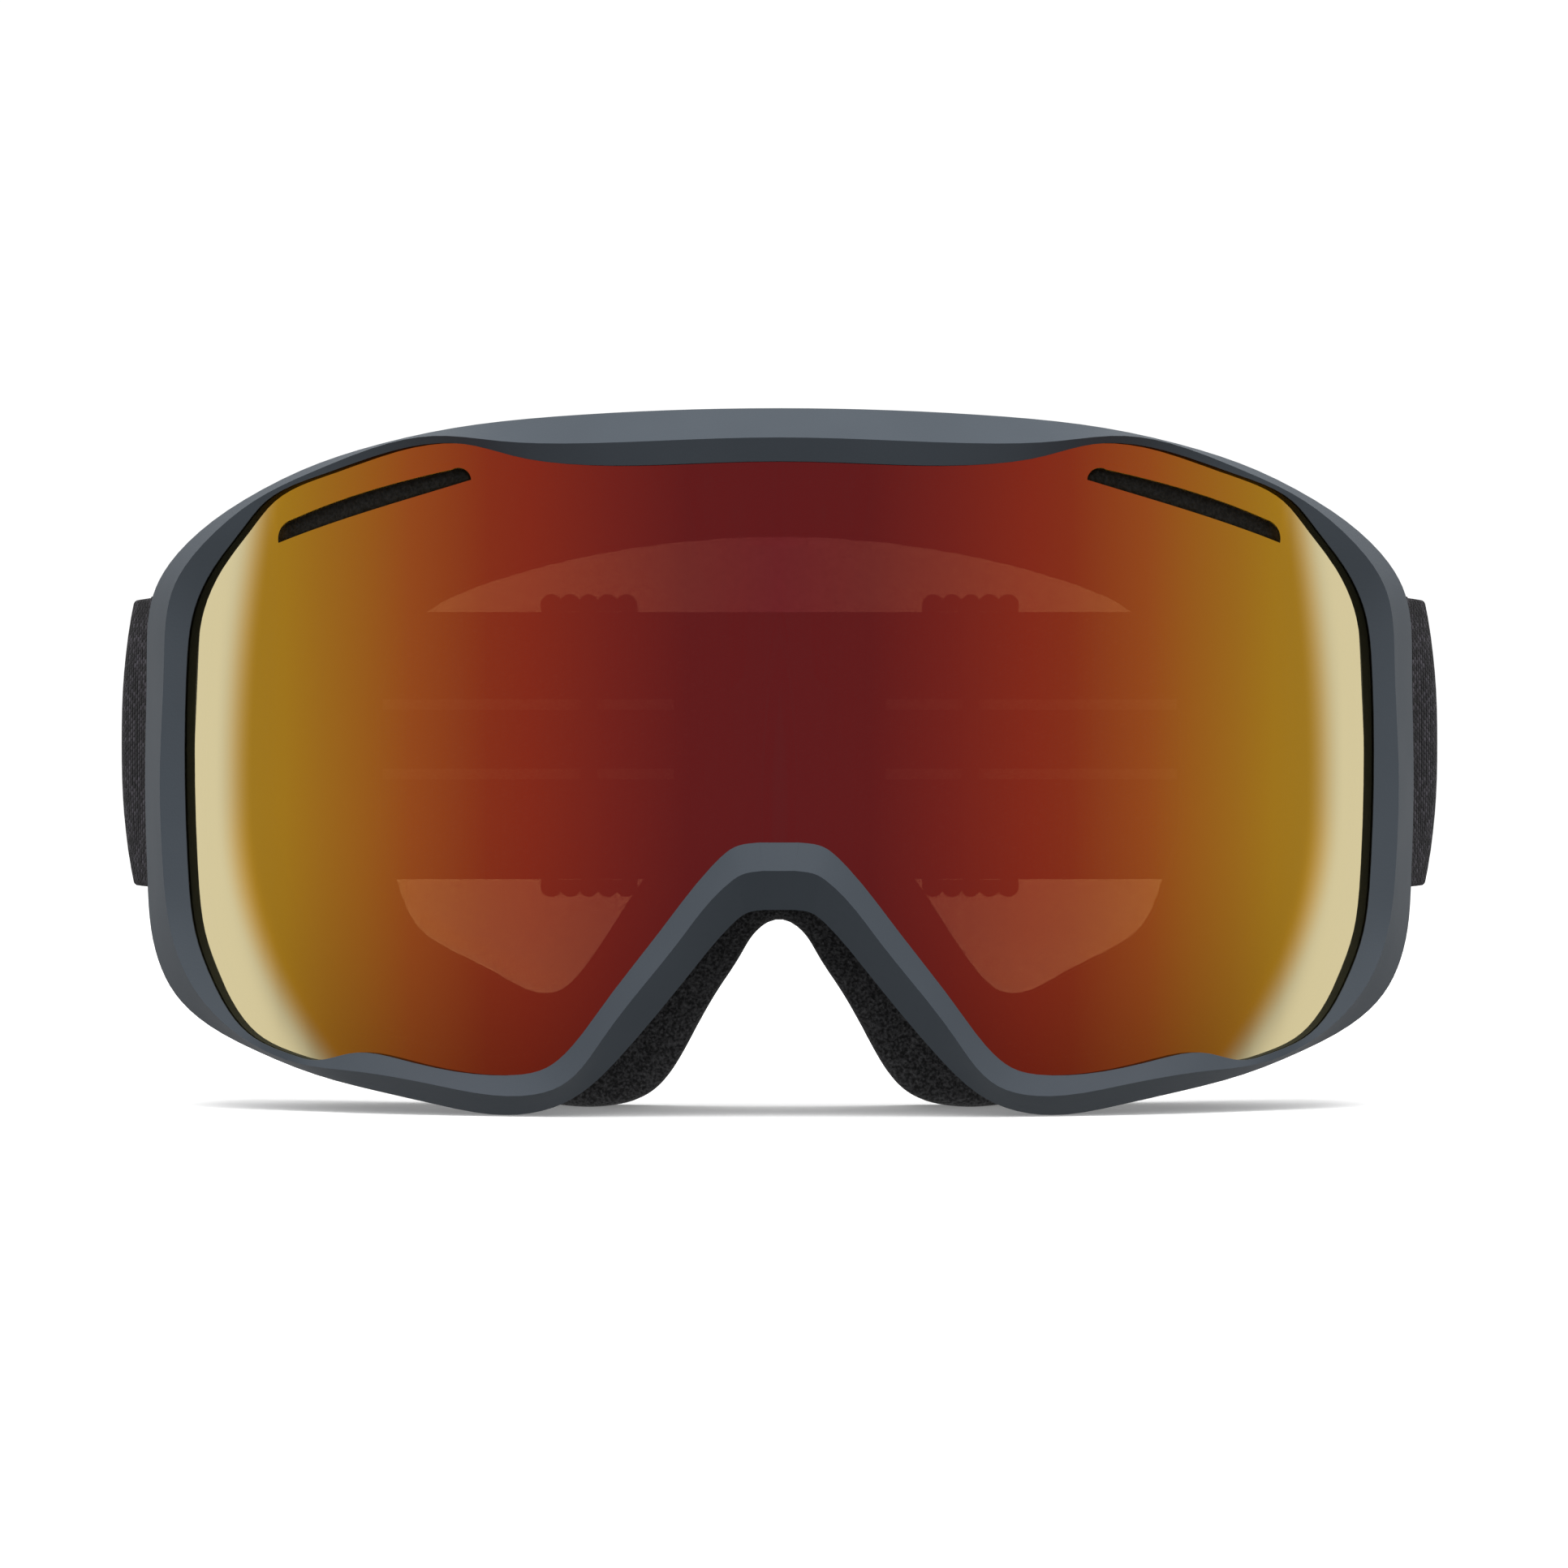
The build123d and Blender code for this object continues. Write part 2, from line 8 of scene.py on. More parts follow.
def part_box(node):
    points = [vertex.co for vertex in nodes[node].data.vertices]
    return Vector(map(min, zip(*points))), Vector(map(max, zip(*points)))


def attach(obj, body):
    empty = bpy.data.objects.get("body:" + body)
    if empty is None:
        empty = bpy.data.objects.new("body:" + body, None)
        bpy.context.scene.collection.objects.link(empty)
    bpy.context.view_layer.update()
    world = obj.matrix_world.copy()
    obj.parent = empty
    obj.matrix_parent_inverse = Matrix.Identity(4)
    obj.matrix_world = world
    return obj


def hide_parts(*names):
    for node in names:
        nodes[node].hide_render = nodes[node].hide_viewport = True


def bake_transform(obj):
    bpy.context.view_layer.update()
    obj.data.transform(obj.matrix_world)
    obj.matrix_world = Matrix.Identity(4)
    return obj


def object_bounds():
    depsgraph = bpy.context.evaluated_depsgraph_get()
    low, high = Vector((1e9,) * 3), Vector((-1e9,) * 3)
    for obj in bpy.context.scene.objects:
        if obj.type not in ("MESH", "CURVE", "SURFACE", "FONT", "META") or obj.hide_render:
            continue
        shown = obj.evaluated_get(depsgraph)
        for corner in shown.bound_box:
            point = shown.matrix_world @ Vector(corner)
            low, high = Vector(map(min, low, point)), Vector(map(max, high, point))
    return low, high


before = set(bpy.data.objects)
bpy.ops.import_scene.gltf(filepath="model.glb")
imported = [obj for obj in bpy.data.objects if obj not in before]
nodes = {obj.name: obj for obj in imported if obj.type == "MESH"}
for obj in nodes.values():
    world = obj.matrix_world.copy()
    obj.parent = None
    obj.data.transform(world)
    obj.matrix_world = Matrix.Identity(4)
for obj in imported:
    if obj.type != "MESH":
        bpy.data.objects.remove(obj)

cad_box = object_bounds()


# ---- Moulded frame ---------------------------------------------------------------------------
# One flexible moulding in slate grey TPU: a faceted bezel round the lens, thin walls with vents,
# a flange for the foam and a bar on each side for the strap.
MM = 0.001
BEZEL_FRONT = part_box("frame")[0].y
SLATE = (0.052, 0.0615, 0.073, 1)
SLATE_WORN = (0.064, 0.075, 0.088, 1)


def new_group(name, inputs, outputs):
    """A shader node group with named float or colour inputs and outputs."""
    group = bpy.data.node_groups.new(name, "ShaderNodeTree")
    for label, kind, value in inputs:
        socket = group.interface.new_socket(label, in_out="INPUT", socket_type=kind)
        if value is not None:
            socket.default_value = value
    for label, kind in outputs:
        group.interface.new_socket(label, in_out="OUTPUT", socket_type=kind)
    group.nodes.new("NodeGroupInput")
    group.nodes.new("NodeGroupOutput")
    return group


def make_moulded_grain():
    """Fine moulding texture: a height for the bump, and a slow mottle for the colour."""
    group = new_group("moulded_grain",
                      [("Vector", "NodeSocketVector", None), ("Scale", "NodeSocketFloat", 2500.0)],
                      [("Height", "NodeSocketFloat"), ("Mottle", "NodeSocketFloat")])
    tree, links = group.nodes, group.links
    ins = tree["Group Input"]
    outs = tree["Group Output"]
    fine = tree.new("ShaderNodeTexNoise")
    fine.inputs["Detail"].default_value = 3.0
    slow = tree.new("ShaderNodeTexNoise")
    slow.inputs["Scale"].default_value = 60.0
    slow.inputs["Detail"].default_value = 2.0
    links.new(ins.outputs["Vector"], fine.inputs["Vector"])
    links.new(ins.outputs["Scale"], fine.inputs["Scale"])
    links.new(ins.outputs["Vector"], slow.inputs["Vector"])
    links.new(fine.outputs["Fac"], outs.inputs["Height"])
    links.new(slow.outputs["Fac"], outs.inputs["Mottle"])
    return group


moulded_grain = make_moulded_grain()


def wire(tree, operation, *values):
    """A Math node fed by sockets or numbers; gives its output socket."""
    node = tree.nodes.new("ShaderNodeMath")
    node.operation = operation
    for slot, value in zip(node.inputs, values):
        if isinstance(value, (int, float)):
            slot.default_value = value
        else:
            tree.links.new(value, slot)
    return node.outputs["Value"]


def new_material(name):
    """A material with its Principled shader, its node tree and its links."""
    material = bpy.data.materials.new(name)
    material.use_nodes = True
    tree = material.node_tree
    return material, tree, tree.nodes["Principled BSDF"]


def moulded_material(name, dark, light, roughness, grain, depth, gloss=0.5):
    """Moulded plastic: two close colours, satin roughness and a fine grain."""
    material, tree, shader = new_material(name)
    shader.inputs["Specular IOR Level"].default_value = gloss
    coords = tree.nodes.new("ShaderNodeTexCoord")
    texture = tree.nodes.new("ShaderNodeGroup")
    texture.node_tree = moulded_grain
    texture.inputs["Scale"].default_value = grain
    mix = tree.nodes.new("ShaderNodeMix")
    mix.data_type = "RGBA"
    mix.inputs["A"].default_value = dark
    mix.inputs["B"].default_value = light
    rough = tree.nodes.new("ShaderNodeMapRange")
    rough.inputs["To Min"].default_value = roughness - 0.05
    rough.inputs["To Max"].default_value = roughness + 0.08
    bump = tree.nodes.new("ShaderNodeBump")
    bump.inputs["Strength"].default_value = 0.35
    bump.inputs["Distance"].default_value = depth
    links = tree.links
    links.new(coords.outputs["Object"], texture.inputs["Vector"])
    links.new(texture.outputs["Mottle"], mix.inputs["Factor"])
    links.new(texture.outputs["Mottle"], rough.inputs["Value"])
    links.new(texture.outputs["Height"], bump.inputs["Height"])
    links.new(mix.outputs["Result"], shader.inputs["Base Color"])
    links.new(rough.outputs["Result"], shader.inputs["Roughness"])
    links.new(bump.outputs["Normal"], shader.inputs["Normal"])
    return material


def finish_node(node, material):
    """Gives a CAD node its material."""
    nodes[node].data.materials.clear()
    nodes[node].data.materials.append(material)


tpu = moulded_material("slate moulded TPU", SLATE, SLATE_WORN, 0.50, 2600.0, 0.05 * MM,
                       gloss=0.02)
finish_node("frame", tpu)


# ---- Mirror lens ------------------------------------------------------------------------------
# A cylindrical polycarbonate sheet held in the frame's groove, with a mirror coating that turns
# from deep red in the middle to gold at the sides, with a pale cream band there that is painted
# reflection of the white surroundings.  A little light comes through it.
WRAP_AXIS_Y = BEZEL_FRONT + 108 * MM      # the upright axis that the lens bends round
LENS_HALF_WIDTH = 81 * MM
LENS_EDGE_TINT = (0.55, 0.36, 0.02, 1)    # the cut edge of the sheet
MIRROR_OUTSIDE = 0.94         # share of the light that the coating turns back
MIRROR_INSIDE = 0.15          # and from behind
# Painted reflection: pale cream laid into the coating colour where the white surroundings mirror
# at the sides.
PAINTED_REFLECTION_PALE = (0.60, 0.515, 0.285, 1)
PAINTED_REFLECTION_BAND = (71.0 * MM, 76.0 * MM)        # where the painted reflection turns the gold pale, from the middle
BAND_LOW_Z = 39 * MM          # below this height the painted reflection band curves inwards,
BAND_HIGH_Z = 45 * MM         # and above this one too
BAND_SPREAD_LOW = 13.0
BAND_SPREAD_HIGH = 3.0
# Share of the way from the middle of the lens to its side, and the colour there.
LENS_STOPS = [(0.0, (0.250, 0.0130, 0.0150)), (0.148, (0.262, 0.0130, 0.0130)),
              (0.27, (0.365, 0.022, 0.0125)), (0.41, (0.50, 0.038, 0.0095)),
              (0.475, (0.53, 0.052, 0.0090)), (0.605, (0.66, 0.135, 0.0110)),
              (0.68, (0.70, 0.220, 0.0100)), (0.753, (0.735, 0.300, 0.0100)),
              (0.82, (0.78, 0.385, 0.0085)), (1.0, (0.74, 0.44, 0.02))]
# The same for the light that comes through.
LENS_CLEAR_STOPS = [(0.0, (0.50, 0.10, 0.12)), (0.5, (0.92, 0.50, 0.20)),
                    (0.75, (1.0, 0.60, 0.22))]


def smooth_step(tree, value, start, end, low, high):
    """Map Range from low to high with smooth ends."""
    node = tree.nodes.new("ShaderNodeMapRange")
    node.interpolation_type = "SMOOTHSTEP"
    node.inputs["From Min"].default_value = start
    node.inputs["From Max"].default_value = end
    node.inputs["To Min"].default_value = low
    node.inputs["To Max"].default_value = high
    tree.links.new(value, node.inputs["Value"])
    return node.outputs["Result"]


def colour_ramp(tree, value, stops):
    """Colour Ramp driven by value, through stops of a position and a colour."""
    node = tree.nodes.new("ShaderNodeValToRGB")
    elements = node.color_ramp.elements
    for element, (position, colour) in zip(elements, (stops[0], stops[-1])):
        element.position = position
        element.color = (*colour, 1)
    for position, colour in stops[1:-1]:
        elements.new(position).color = (*colour, 1)
    tree.links.new(value, node.inputs["Fac"])
    return node.outputs["Color"]


def mix_shaders(tree, share, first, second):
    """Mix Shader from first, at a share of 0, to second, at 1."""
    node = tree.nodes.new("ShaderNodeMixShader")
    tree.links.new(share, node.inputs["Fac"])
    tree.links.new(first, node.inputs[1])
    tree.links.new(second, node.inputs[2])
    return node.outputs["Shader"]


def vector_wire(tree, operation, first, second=None):
    """A Vector Math node fed by sockets or vectors."""
    node = tree.nodes.new("ShaderNodeVectorMath")
    node.operation = operation
    tree.links.new(first, node.inputs[0])
    if isinstance(second, tuple):
        node.inputs[1].default_value = second
    elif second is not None:
        tree.links.new(second, node.inputs[1])
    return node


def painted_reflection_share(tree, across, height):
    """0 on the coloured part of the lens and 1 on the painted reflection band at its side."""
    above = wire(tree, "MAXIMUM", wire(tree, "SUBTRACT", height, BAND_HIGH_Z), 0.0)
    below = wire(tree, "MAXIMUM", wire(tree, "SUBTRACT", BAND_LOW_Z, height), 0.0)
    spread = wire(tree, "ADD",
                  wire(tree, "MULTIPLY", wire(tree, "MULTIPLY", above, above), BAND_SPREAD_HIGH),
                  wire(tree, "MULTIPLY", wire(tree, "MULTIPLY", below, below), BAND_SPREAD_LOW))
    return smooth_step(tree, wire(tree, "ADD", across, spread), *PAINTED_REFLECTION_BAND, 0.0, 1.0)


def facing_out(tree, coords, backfacing):
    """1 where a face looks out from the lens's axis, -1 where it looks in, 0 on a cut edge."""
    from_axis = vector_wire(tree, "SUBTRACT", coords.outputs["Object"], (0, WRAP_AXIS_Y, 0))
    flat = vector_wire(tree, "MULTIPLY", from_axis.outputs["Vector"], (1, 1, 0))
    outwards = vector_wire(tree, "NORMALIZE", flat.outputs["Vector"])
    facing = vector_wire(tree, "DOT_PRODUCT", outwards.outputs["Vector"],
                         coords.outputs["Normal"])
    seen_side = wire(tree, "SUBTRACT", 1.0, wire(tree, "MULTIPLY", backfacing, 2.0))
    return wire(tree, "MULTIPLY", facing.outputs["Value"], seen_side)


def mirror_lens_material():
    """Tinted mirror on the front face of the lens; its back face only lets light through."""
    material, tree, shader = new_material("red to gold mirror")
    links = tree.links
    coords = tree.nodes.new("ShaderNodeTexCoord")
    parts = tree.nodes.new("ShaderNodeSeparateXYZ")
    links.new(coords.outputs["Object"], parts.inputs["Vector"])
    across = wire(tree, "ABSOLUTE", parts.outputs["X"])
    span = tree.nodes.new("ShaderNodeMapRange")
    span.inputs["From Max"].default_value = LENS_HALF_WIDTH
    links.new(across, span.inputs["Value"])

    # Painted reflection: the pale band at the sides stands for the white surroundings mirrored in
    # the lens.
    painted_reflection_mix = tree.nodes.new("ShaderNodeMix")
    painted_reflection_mix.data_type = "RGBA"
    painted_reflection_mix.inputs["B"].default_value = PAINTED_REFLECTION_PALE
    links.new(painted_reflection_share(tree, across, parts.outputs["Z"]), painted_reflection_mix.inputs["Factor"])
    links.new(colour_ramp(tree, span.outputs["Result"], LENS_STOPS), painted_reflection_mix.inputs["A"])
    links.new(painted_reflection_mix.outputs["Result"], shader.inputs["Base Color"])
    shader.inputs["Metallic"].default_value = 1.0
    shader.inputs["Roughness"].default_value = 0.035
    shader.inputs["Coat Weight"].default_value = 0.3
    shader.inputs["Coat Roughness"].default_value = 0.02

    glass = tree.nodes.new("ShaderNodeBsdfTransparent")
    links.new(colour_ramp(tree, span.outputs["Result"], LENS_CLEAR_STOPS), glass.inputs["Color"])
    backfacing = tree.nodes.new("ShaderNodeNewGeometry").outputs["Backfacing"]
    mirrored_share = wire(tree, "MULTIPLY_ADD", backfacing, MIRROR_INSIDE - MIRROR_OUTSIDE,
                          MIRROR_OUTSIDE)
    coated = mix_shaders(tree, mirrored_share, glass.outputs["BSDF"], shader.outputs["BSDF"])

    edge = tree.nodes.new("ShaderNodeBsdfPrincipled")
    edge.inputs["Base Color"].default_value = LENS_EDGE_TINT
    edge.inputs["Roughness"].default_value = 0.25
    back = tree.nodes.new("ShaderNodeBsdfTransparent")
    outwards = facing_out(tree, coords, backfacing)
    front = wire(tree, "GREATER_THAN", outwards, 0.5)
    not_back = wire(tree, "GREATER_THAN", outwards, -0.5)
    tinted = mix_shaders(tree, front, edge.outputs["BSDF"], coated)
    whole = mix_shaders(tree, not_back, back.outputs["BSDF"], tinted)
    links.new(whole, tree.nodes["Material Output"].inputs["Surface"])
    return material


finish_node("outer_lens", mirror_lens_material())


# ---- Inner lens, gasket and vent foam ----------------------------------------------------------
# A clear anti-fog sheet behind the mirror lens, with a dark foam gasket between them, and
# open-cell foam behind the slots and in the frame's vents.
def clear_material():
    """Thin clear plastic."""
    material, tree, shader = new_material("clear anti-fog sheet")
    shader.inputs["Base Color"].default_value = (0.9, 0.9, 0.9, 1)
    shader.inputs["Roughness"].default_value = 0.08
    glass = tree.nodes.new("ShaderNodeBsdfTransparent")
    glass.inputs["Color"].default_value = (0.96, 0.96, 0.96, 1)
    mix = tree.nodes.new("ShaderNodeMixShader")
    mix.inputs["Fac"].default_value = 0.02
    tree.links.new(glass.outputs["BSDF"], mix.inputs[1])
    tree.links.new(shader.outputs["BSDF"], mix.inputs[2])
    tree.links.new(mix.outputs["Shader"], tree.nodes["Material Output"].inputs["Surface"])
    return material


def foam_material(name, dark, light, pore, depth, roughness=0.95):
    """Open-cell foam: small dark pores with lighter walls between them."""
    material, tree, shader = new_material(name)
    links = tree.links
    coords = tree.nodes.new("ShaderNodeTexCoord")
    cells = tree.nodes.new("ShaderNodeTexVoronoi")
    cells.feature = "DISTANCE_TO_EDGE"
    cells.inputs["Scale"].default_value = pore
    speckle = tree.nodes.new("ShaderNodeTexNoise")
    speckle.inputs["Scale"].default_value = pore * 1.6
    speckle.inputs["Detail"].default_value = 4.0
    bump = tree.nodes.new("ShaderNodeBump")
    bump.inputs["Strength"].default_value = 0.8
    bump.inputs["Distance"].default_value = depth
    links.new(coords.outputs["Object"], cells.inputs["Vector"])
    links.new(coords.outputs["Object"], speckle.inputs["Vector"])
    colour = colour_ramp(tree, speckle.outputs["Fac"], [(0.40, dark), (0.72, light)])
    height = wire(tree, "SUBTRACT", speckle.outputs["Fac"], cells.outputs["Distance"])
    links.new(height, bump.inputs["Height"])
    links.new(colour, shader.inputs["Base Color"])
    links.new(bump.outputs["Normal"], shader.inputs["Normal"])
    shader.inputs["Roughness"].default_value = roughness
    return material


def soft_copy(node, name, voxel, rounds, material):
    """Foam cut to a CAD node's shape, with soft rounded edges, in place of that node."""
    draft = bpy.data.objects.new(name + "_draft", nodes[node].data.copy())
    bpy.context.scene.collection.objects.link(draft)
    bm = bmesh.new()
    bm.from_mesh(draft.data)
    bmesh.ops.remove_doubles(bm, verts=bm.verts, dist=0.002 * MM)
    bm.to_mesh(draft.data)
    bm.free()
    remesh = draft.modifiers.new("even cells", "REMESH")
    remesh.mode = "VOXEL"
    remesh.voxel_size = voxel
    shape = draft.evaluated_get(bpy.context.evaluated_depsgraph_get())
    mesh = bpy.data.meshes.new_from_object(shape)
    bpy.data.objects.remove(draft)
    bm = bmesh.new()
    bm.from_mesh(mesh)
    for _ in range(rounds):
        bmesh.ops.smooth_vert(bm, verts=bm.verts, factor=0.5, use_axis_x=True,
                              use_axis_y=True, use_axis_z=True)
    for face in bm.faces:
        face.smooth = True
    bm.to_mesh(mesh)
    bm.free()
    mesh.name = name
    mesh.materials.clear()
    mesh.materials.append(material)
    piece = bpy.data.objects.new(name, mesh)
    bpy.context.scene.collection.objects.link(piece)
    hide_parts(node)
    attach(piece, "root")
    return piece


open_foam = foam_material("black open-cell foam", (0.002, 0.002, 0.0022),
                          (0.014, 0.014, 0.015), 1300.0, 0.3 * MM)
gasket_foam = foam_material("black gasket foam", (0.006, 0.006, 0.006),
                            (0.02, 0.02, 0.02), 1800.0, 0.1 * MM)
finish_node("inner_lens", clear_material())
soft_copy("lens_gasket", "foam_gasket", 0.8 * MM, 2, gasket_foam)
for node in sorted(nodes):
    if "vent_foam" in node:
        filter_foam = soft_copy(node, node.replace("vent_foam", "filter"), 0.45 * MM, 2, open_foam)


# ---- Face seat --------------------------------------------------------------------------------
# Two layers of soft polyurethane foam glued to the flange, and a thin layer of brushed fleece
# that touches the face.  Each is cut from sheet, so its edges are soft but its sides are flat.
seat_foam = foam_material("charcoal face foam", (0.005, 0.005, 0.0055),
                          (0.065, 0.065, 0.068), 1500.0, 0.35 * MM)
fleece = foam_material("brushed fleece", (0.010, 0.010, 0.0105),
                       (0.035, 0.035, 0.037), 3200.0, 0.25 * MM)
fleece.node_tree.nodes["Principled BSDF"].inputs["Sheen Weight"].default_value = 0.35
fleece.node_tree.nodes["Principled BSDF"].inputs["Sheen Roughness"].default_value = 0.5
for node, name, voxel, rounds, material, slot in (
        ("face_foam_base", "seat_foam_front", 1.0 * MM, 5, seat_foam, "face_foam"),
        ("face_foam_middle", "seat_foam_middle", 1.0 * MM, 5, seat_foam, "face_foam"),
        ("face_fleece", "seat_fleece", 0.7 * MM, 3, fleece, "fleece")):
    layer = soft_copy(node, name, voxel, rounds, material)


# ---- Strap ------------------------------------------------------------------------------------
# Woven elastic webbing, 40 mm wide.  It turns round a bar on each side of the frame: the inner
# layer runs round the head, and the outer layer comes back over it to a slider on each side.
STRAP_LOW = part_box("strap_band")[0].z
STRAP_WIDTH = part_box("strap_band")[1].z - STRAP_LOW
WEBBING = 1.5 * MM
STRAP_ROWS = 16
BAR_X = 84 * MM
BAR_Y = -23 * MM
BAR_TURN_R = 1.6 * MM
STRAP_CROWN = 2.8 * MM       # how far the middle of the webbing stands out at the sides
CROWN_FALL = 0.7             # and how much of that is lost at its edges
EDGE_DRAW = 0.35 * MM        # how far the crown draws the two edges together
EDGE_ROLL = 0.18 * MM        # the woven edge stands this far past the webbing's cut width
RIB = 1.1 * MM
PICK = 0.8 * MM
WEBBING_DARK = (0.0050, 0.0045, 0.0060, 1)
WEBBING_LIGHT = (0.066, 0.060, 0.073, 1)

CROWN_ALONG = (-20 * MM, 4 * MM)         # front to back, where the crown builds up
CROWN_FROM = (62 * MM, 84 * MM)           # and how far out it starts
EDGE_BEVEL = 0.55 * MM

# Runs as (length, 0) and bends as (radius, degrees), in millimetres, from the bar backwards.
INNER_SIDE = [(1.23, 0), (10.5, -16.82), (15.73, 0), (31.5, 16.82), (52.9, 0), (24.5, 90)]
OUTER_SIDE = [(1.70, 0), (12, -12.41), (10.79, 0), (30, 12.41), (60.09, 0), (24.65, 90),
              (27.85, 0)]
BAR_TURN = [(1.6, -180)]
REAR_RUN = [(128.5, 0)]


def eased(value, start, end):
    """0 before start, 1 after end, and smooth between them."""
    t = min(1.0, max(0.0, (value - start) / (end - start)))
    return t * t * (3 - 2 * t)


def thicken(piece):
    """Gives a strap its thickness, and rolls its woven edges."""
    thick = piece.modifiers.new("webbing thickness", "SOLIDIFY")
    thick.thickness = WEBBING
    thick.offset = 1
    thick.use_even_offset = True
    edges = piece.modifiers.new("rolled edges", "BEVEL")
    edges.width = EDGE_BEVEL
    edges.segments = 3
    edges.limit_method = "ANGLE"
    edges.angle_limit = math.radians(50)


def lay_webbing(name, start, heading, legs, thick_left, material, crown=STRAP_CROWN):
    """Webbing laid along its legs: one upright edge extruded along runs and round bends.

    The legs follow one face of it, and its thickness is to the left or right of them."""
    bm = bmesh.new()
    along = bm.verts.layers.float.new("along")
    ends = [bm.verts.new((start[0], start[1], STRAP_LOW + high))
            for high in (-EDGE_ROLL, STRAP_WIDTH + EDGE_ROLL)]
    row = [bm.edges.new(ends)]
    bmesh.ops.subdivide_edges(bm, edges=row, cuts=STRAP_ROWS - 1)
    row = bm.edges[:]
    here = Vector((start[0], start[1], 0))
    turn = math.radians(heading)
    distance = 0.0
    for size, degrees in legs:
        size *= MM
        length = size * math.radians(abs(degrees)) if degrees else size
        steps = max(2, round(abs(degrees) / 6)) if degrees else max(1, round(length / (3 * MM)))
        step_turn = math.radians(degrees) / steps
        side = math.copysign(1, degrees)
        for _ in range(steps):
            grown = bmesh.ops.extrude_edge_only(bm, edges=row)["geom"]
            fresh = [g for g in grown if isinstance(g, bmesh.types.BMVert)]
            row = [g for g in grown if isinstance(g, bmesh.types.BMEdge)]
            distance += length / steps
            if degrees:
                centre = here + size * side * Vector((-math.sin(turn), math.cos(turn), 0))
                spin = Matrix.Rotation(step_turn, 3, "Z")
                bmesh.ops.rotate(bm, verts=fresh, cent=centre, matrix=spin)
                here = centre + spin @ (here - centre)
                turn += step_turn
            else:
                step = length / steps * Vector((math.cos(turn), math.sin(turn), 0))
                bmesh.ops.translate(bm, verts=fresh, vec=step)
                here = here + step
            for vert in fresh:
                vert[along] = distance
    uv = bm.loops.layers.uv.new("weave")
    for face in bm.faces:
        face.smooth = True
        for loop in face.loops:
            loop[uv].uv = (loop.vert[along], loop.vert.co.z - STRAP_LOW)
    bm.normal_update()
    bm.faces.ensure_lookup_table()
    first = math.radians(heading)
    left = Vector((-math.sin(first), math.cos(first), 0))
    if bm.faces[0].normal.dot(left) * (1 if thick_left else -1) < 0:
        bmesh.ops.reverse_faces(bm, faces=bm.faces)
    for vert in bm.verts:
        high = 2 * (vert.co.z - STRAP_LOW) / STRAP_WIDTH - 1
        at_side = eased(vert.co.y, *CROWN_ALONG) * eased(abs(vert.co.x), *CROWN_FROM)
        stand = crown * at_side * (1 - CROWN_FALL * abs(high) ** 2.5)
        vert.co.x += math.copysign(stand, vert.co.x)
        vert.co.z -= EDGE_DRAW * at_side * high
    mesh = bpy.data.meshes.new(name)
    bm.to_mesh(mesh)
    bm.free()
    mesh.materials.append(material)
    piece = bpy.data.objects.new(name, mesh)
    bpy.context.scene.collection.objects.link(piece)
    thicken(piece)
    return piece


def make_weave():
    """Rib weave from a strap's own run and width: thread height, and which threads are light."""
    group = new_group("elastic_weave",
                      [("Along", "NodeSocketFloat", 0.0), ("Across", "NodeSocketFloat", 0.0),
                       ("Rib", "NodeSocketFloat", 0.0011), ("Pick", "NodeSocketFloat", 0.0007)],
                      [("Height", "NodeSocketFloat"), ("Light", "NodeSocketFloat")])
    tree, links = group.nodes, group.links
    ins, outs = tree["Group Input"], tree["Group Output"]
    ribs = wire(group, "DIVIDE", ins.outputs["Along"], ins.outputs["Rib"])
    picks = wire(group, "DIVIDE", ins.outputs["Across"], ins.outputs["Pick"])
    rib_number = wire(group, "FLOOR", ribs)
    shifted = wire(group, "ADD", picks, wire(group, "MULTIPLY", rib_number, 0.5))
    rib_wave = wire(group, "ABSOLUTE", wire(group, "SINE", wire(group, "MULTIPLY", ribs, math.pi)))
    pick_wave = wire(group, "ABSOLUTE",
                     wire(group, "SINE", wire(group, "MULTIPLY", shifted, math.pi)))
    height = wire(group, "MULTIPLY", wire(group, "POWER", rib_wave, 0.6),
                  wire(group, "POWER", pick_wave, 0.5))
    cell = tree.new("ShaderNodeCombineXYZ")
    links.new(rib_number, cell.inputs["X"])
    links.new(wire(group, "FLOOR", shifted), cell.inputs["Y"])
    pick_of = tree.new("ShaderNodeTexWhiteNoise")
    pick_of.noise_dimensions = "2D"
    links.new(cell.outputs["Vector"], pick_of.inputs["Vector"])
    light = wire(group, "MULTIPLY", height, wire(group, "POWER", pick_of.outputs["Value"], 2.0))
    links.new(height, outs.inputs["Height"])
    links.new(light, outs.inputs["Light"])
    return group


elastic_weave = make_weave()


